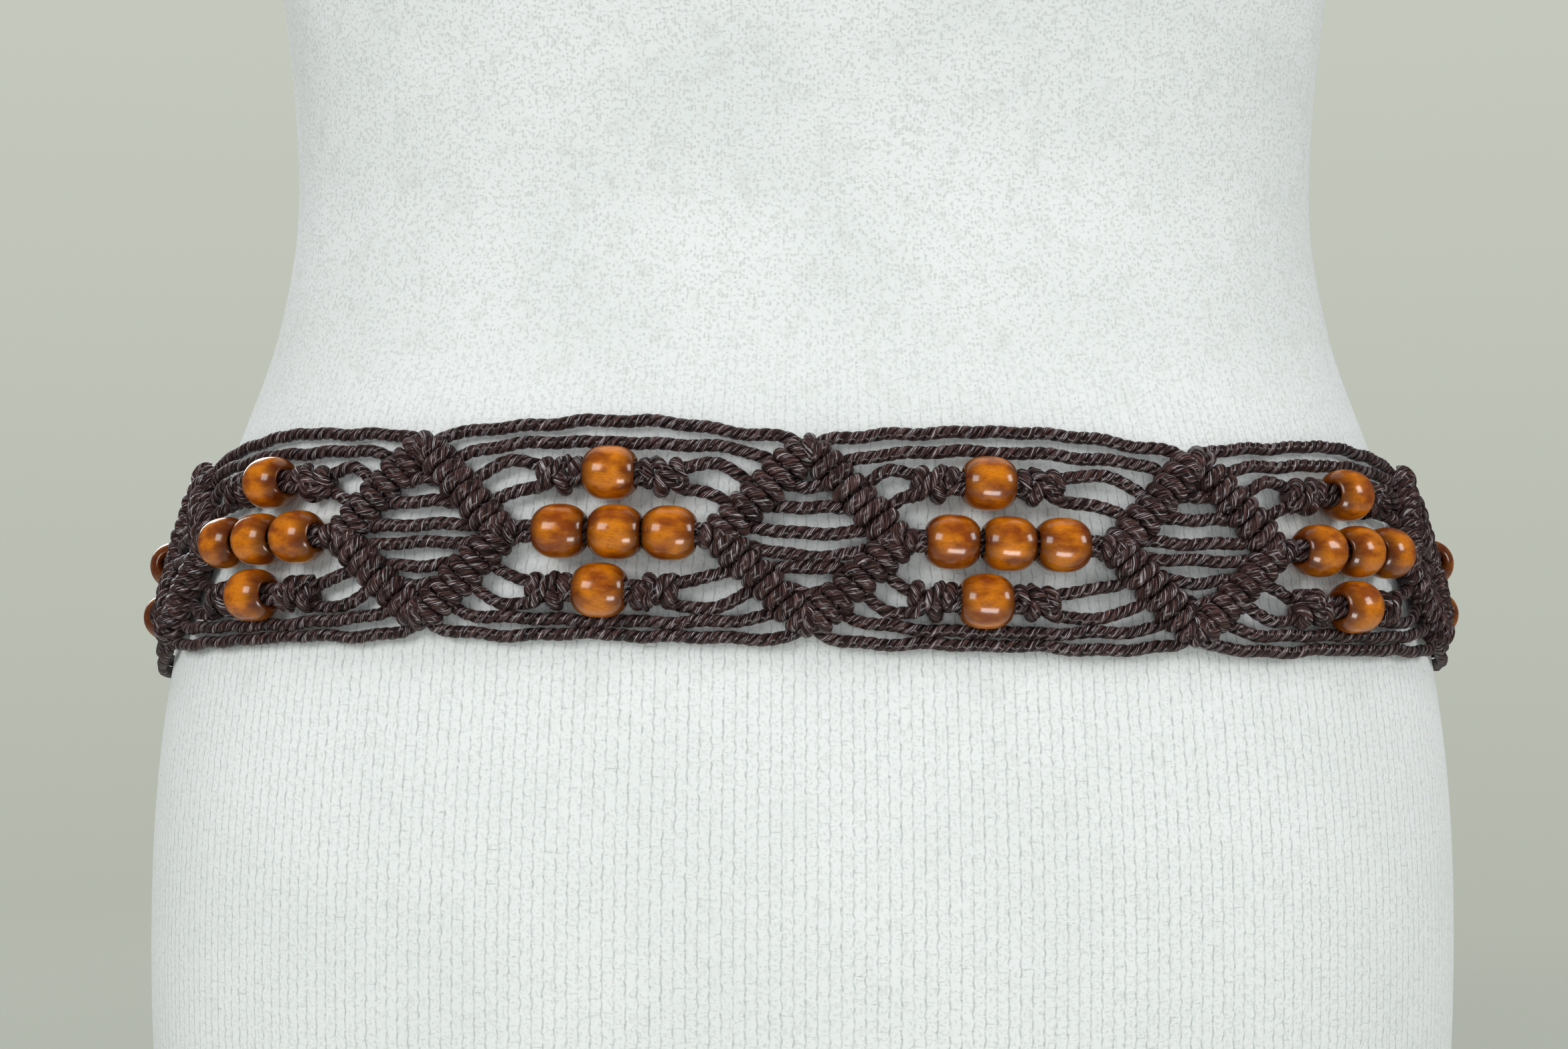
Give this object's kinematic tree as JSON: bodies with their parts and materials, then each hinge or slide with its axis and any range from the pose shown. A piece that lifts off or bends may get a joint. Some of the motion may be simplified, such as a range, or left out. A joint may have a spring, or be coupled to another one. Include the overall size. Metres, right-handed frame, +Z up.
{
  "type": "macrame belt on a dress form",
  "caption": "Knotted brown cord belt with diamonds and wooden beads, tied at the back of a limbless white dress form that stands on its flat base.",
  "frame": {"origin": "on the dress form's flat underside, below the middle of its waist", "axes": "+Z up the form, the belt's front faces -Y, +X to the right as seen from the front"},
  "size_m": [0.328, 0.2531, 0.735],
  "materials": {
    "cord": "waxed cotton, slight sheen",
    "bead": "glossy varnish",
    "cover": "matte white knit"
  },
  "bodies": {
    "root": {"dress_form": "cover", "binding": "cord", "gathering_left": "cord", "tie_left": "cord", "tassel_left": "cord", "gathering_right": "cord", "tie_right": "cord", "tassel_right": "cord", "net_front": "cord", "net_left_1": "cord", "net_left_2": "cord", "net_left_3": "cord", "net_left_4": "cord", "net_right_1": "cord", "net_right_2": "cord", "net_right_3": "cord", "net_right_4": "cord", "bead_left_1_first": "bead", "bead_left_1_middle": "bead", "bead_left_1_last": "bead", "bead_left_1_upper": "bead", "bead_left_1_lower": "bead", "bead_left_2_first": "bead", "bead_left_2_middle": "bead", "bead_left_2_last": "bead", "bead_left_2_upper": "bead", "bead_left_2_lower": "bead", "bead_left_3_first": "bead", "bead_left_3_middle": "bead", "bead_left_3_last": "bead", "bead_left_3_upper": "bead", "bead_left_3_lower": "bead", "bead_left_4_first": "bead", "bead_left_4_middle": "bead", "bead_left_4_last": "bead", "bead_left_4_upper": "bead", "bead_left_4_lower": "bead", "bead_right_1_first": "bead", "bead_right_1_middle": "bead", "bead_right_1_last": "bead", "bead_right_1_upper": "bead", "bead_right_1_lower": "bead", "bead_right_2_first": "bead", "bead_right_2_middle": "bead", "bead_right_2_last": "bead", "bead_right_2_upper": "bead", "bead_right_2_lower": "bead", "bead_right_3_first": "bead", "bead_right_3_middle": "bead", "bead_right_3_last": "bead", "bead_right_3_upper": "bead", "bead_right_3_lower": "bead", "bead_right_4_first": "bead", "bead_right_4_middle": "bead", "bead_right_4_last": "bead", "bead_right_4_upper": "bead", "bead_right_4_lower": "bead"}
  },
  "joints": []
}
